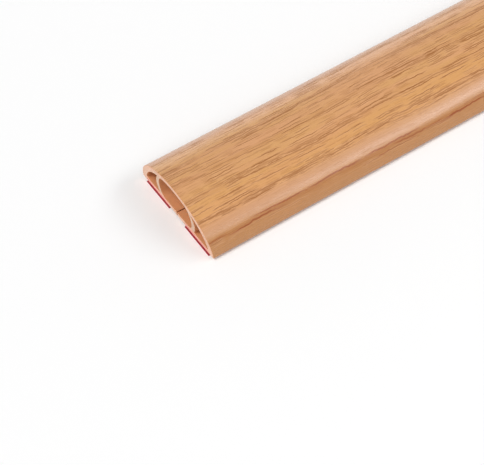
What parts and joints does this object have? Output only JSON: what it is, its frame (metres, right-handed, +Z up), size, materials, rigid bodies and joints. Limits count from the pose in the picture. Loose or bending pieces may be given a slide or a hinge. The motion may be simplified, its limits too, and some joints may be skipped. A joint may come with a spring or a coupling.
{
  "type": "floor cord cover",
  "caption": "Low arched soft plastic strip with a wood-grain top, cord channels, a slit base and adhesive tapes under red release liners.",
  "frame": {"origin": "centre of the bounding box on the floor, under the middle of the strip", "axes": "+X along the strip, +Y across it, +Z up from the liners to the crown of the arch"},
  "size_m": [1.001, 0.06, 0.019],
  "materials": {
    "wood_print_pvc": "soft PVC with a satin oak-coloured wood-grain print on top and plain tan underneath",
    "clear_adhesive": "clear soft double-sided adhesive",
    "red_liner": "thin smooth red release film"
  },
  "bodies": {
    "root": {"cover_strip": "wood_print_pvc", "adhesive_tape_left": "clear_adhesive", "adhesive_tape_right": "clear_adhesive", "release_liner_left": "red_liner", "release_liner_right": "red_liner"}
  },
  "joints": []
}
